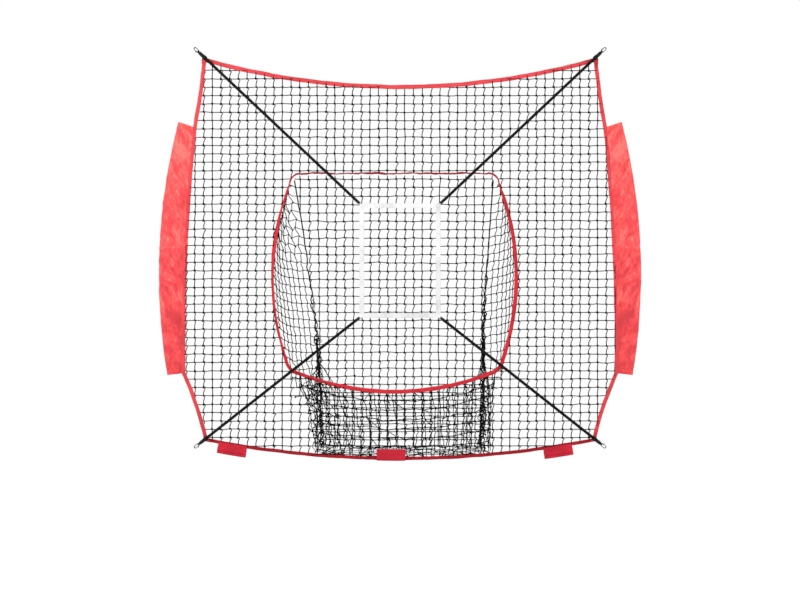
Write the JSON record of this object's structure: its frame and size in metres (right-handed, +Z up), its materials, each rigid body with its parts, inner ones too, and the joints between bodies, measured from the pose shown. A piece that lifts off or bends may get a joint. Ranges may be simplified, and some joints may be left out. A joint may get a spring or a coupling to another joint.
{
  "type": "ball practice net",
  "caption": "Frameless square practice net with a catch pocket, a strike-zone target on bungee cords, side pole sleeves, base loops and corner snap hooks.",
  "frame": {"origin": "the middle of the hem's lower edge, in the plane of the net, where the frame's base tube passes", "axes": "+X along the net to the player's right, +Y from the player towards the pocket, +Z up"},
  "size_m": [2.582, 0.3198, 2.2062],
  "materials": {
    "netting": "knotted polyester twine, matt",
    "red_tape": "folded woven tape, stitched, satin",
    "sleeve_fabric": "light plain-weave polyester, slight sheen",
    "white_webbing": "flat woven webbing, stitched laps",
    "black_webbing": "flat woven webbing",
    "bungee_cord": "braided textile cover over rubber",
    "hook_metal": "black coated die-cast metal, satin",
    "clip_plastic": "moulded, matt"
  },
  "bodies": {
    "net": {"main_net": "netting", "top_binding": "red_tape", "right_binding": "red_tape", "bottom_hem": "red_tape", "left_binding": "red_tape", "rim_top": "red_tape", "rim_right": "red_tape", "rim_bottom": "red_tape", "rim_left": "red_tape", "pocket_back": "netting", "pocket_left_gusset": "netting", "pocket_right_gusset": "netting", "pocket_floor": "netting", "pocket_apron": "netting", "left_sleeve_seam": "sleeve_fabric", "right_sleeve_seam": "sleeve_fabric", "gate_pins": "hook_metal", "corner_patches": "red_tape", "corner_straps": "black_webbing", "hook_top_left": "hook_metal", "hook_top_right": "hook_metal", "hook_bottom_left": "hook_metal", "hook_bottom_right": "hook_metal"},
    "strike_zone": {"target_top": "white_webbing", "target_bottom": "white_webbing", "target_left": "white_webbing", "target_right": "white_webbing", "bungee_top_left": "bungee_cord", "bungee_top_right": "bungee_cord", "bungee_bottom_left": "bungee_cord", "bungee_bottom_right": "bungee_cord"},
    "swivel_top_left": {"swivel_post_top_left": "hook_metal", "cord_clip_top_left": "clip_plastic"},
    "gate_top_left_body": {"gate_top_left": "hook_metal"},
    "swivel_top_right": {"swivel_post_top_right": "hook_metal", "cord_clip_top_right": "clip_plastic"},
    "gate_top_right_body": {"gate_top_right": "hook_metal"},
    "swivel_bottom_left": {"swivel_post_bottom_left": "hook_metal", "cord_clip_bottom_left": "clip_plastic"},
    "gate_bottom_left_body": {"gate_bottom_left": "hook_metal"},
    "swivel_bottom_right": {"swivel_post_bottom_right": "hook_metal", "cord_clip_bottom_right": "clip_plastic"},
    "gate_bottom_right_body": {"gate_bottom_right": "hook_metal"},
    "base_loop_left_body": {"base_loop_left": "red_tape"},
    "base_loop_centre_body": {"base_loop_centre": "red_tape"},
    "base_loop_right_body": {"base_loop_right": "red_tape"},
    "left_sleeve": {"left_sleeve_neck": "sleeve_fabric", "left_sleeve_front": "sleeve_fabric", "left_sleeve_rear": "sleeve_fabric", "left_sleeve_fold": "sleeve_fabric"},
    "right_sleeve": {"right_sleeve_neck": "sleeve_fabric", "right_sleeve_front": "sleeve_fabric", "right_sleeve_rear": "sleeve_fabric", "right_sleeve_fold": "sleeve_fabric"}
  },
  "joints": [
    {"name": "strike_zone_give", "type": "slide", "parent": "net", "child": "strike_zone", "axis": [0, 1, 0], "range_m": [-0.12, 0.005], "stiffness_N_per_m": 150, "deforming": ["bungee_top_left", "bungee_top_right", "bungee_bottom_left", "bungee_bottom_right"]},
    {"name": "swivel_top_left_turn", "type": "hinge", "parent": "net", "child": "swivel_top_left", "pos_m": [-1.06621, -0.026, 2.17316], "axis": [-0.7284, 0, 0.6851], "continuous": true},
    {"name": "gate_top_left_open", "type": "hinge", "parent": "net", "child": "gate_top_left_body", "pos_m": [-1.08686, -0.026, 2.18332], "axis": [0, 1, 0], "range_deg": [0, 28], "stiffness_Nm_per_rad": 0.04, "springref_deg": -11.46},
    {"name": "swivel_top_right_turn", "type": "hinge", "parent": "net", "child": "swivel_top_right", "pos_m": [1.06621, -0.026, 2.17316], "axis": [0.7284, 0, 0.6851], "continuous": true},
    {"name": "gate_top_right_open", "type": "hinge", "parent": "net", "child": "gate_top_right_body", "pos_m": [1.07761, -0.026, 2.19315], "axis": [0, 1, 0], "range_deg": [0, 28], "stiffness_Nm_per_rad": 0.04, "springref_deg": -11.46},
    {"name": "swivel_bottom_left_turn", "type": "hinge", "parent": "net", "child": "swivel_bottom_left", "pos_m": [-1.06318, -0.026, 0.09704], "axis": [-0.7859, 0, -0.6184], "continuous": true},
    {"name": "gate_bottom_left_open", "type": "hinge", "parent": "net", "child": "gate_bottom_left_body", "pos_m": [-1.0763, -0.026, 0.07813], "axis": [0, 1, 0], "range_deg": [0, 28], "stiffness_Nm_per_rad": 0.04, "springref_deg": -11.46},
    {"name": "swivel_bottom_right_turn", "type": "hinge", "parent": "net", "child": "swivel_bottom_right", "pos_m": [1.06318, -0.026, 0.09704], "axis": [0.7859, 0, -0.6184], "continuous": true},
    {"name": "gate_bottom_right_open", "type": "hinge", "parent": "net", "child": "gate_bottom_right_body", "pos_m": [1.08465, -0.026, 0.08874], "axis": [0, 1, 0], "range_deg": [0, 28], "stiffness_Nm_per_rad": 0.04, "springref_deg": -11.46},
    {"name": "base_loop_left_swing", "type": "hinge", "parent": "net", "child": "base_loop_left_body", "pos_m": [-0.897, 0, 0.07303], "axis": [0.9863, 0, -0.165], "range_deg": [-80, 80]},
    {"name": "base_loop_centre_swing", "type": "hinge", "parent": "net", "child": "base_loop_centre_body", "pos_m": [-0.048, -0.0084, 0.00021], "axis": [1, 0, -0.0088], "range_deg": [0, 175]},
    {"name": "base_loop_right_swing", "type": "hinge", "parent": "net", "child": "base_loop_right_body", "pos_m": [0.845, 0, 0.06459], "axis": [0.9878, 0, 0.1555], "range_deg": [-80, 80]},
    {"name": "left_sleeve_flap", "type": "hinge", "parent": "net", "child": "left_sleeve", "pos_m": [-1.14209, 0, 1.79625], "axis": [0.0461, 0, 0.9989], "range_deg": [-80, 80], "stiffness_Nm_per_rad": 0.08},
    {"name": "right_sleeve_flap", "type": "hinge", "parent": "net", "child": "right_sleeve", "pos_m": [1.14209, 0, 1.79625], "axis": [-0.0461, 0, 0.9989], "range_deg": [-80, 80], "stiffness_Nm_per_rad": 0.08}
  ]
}
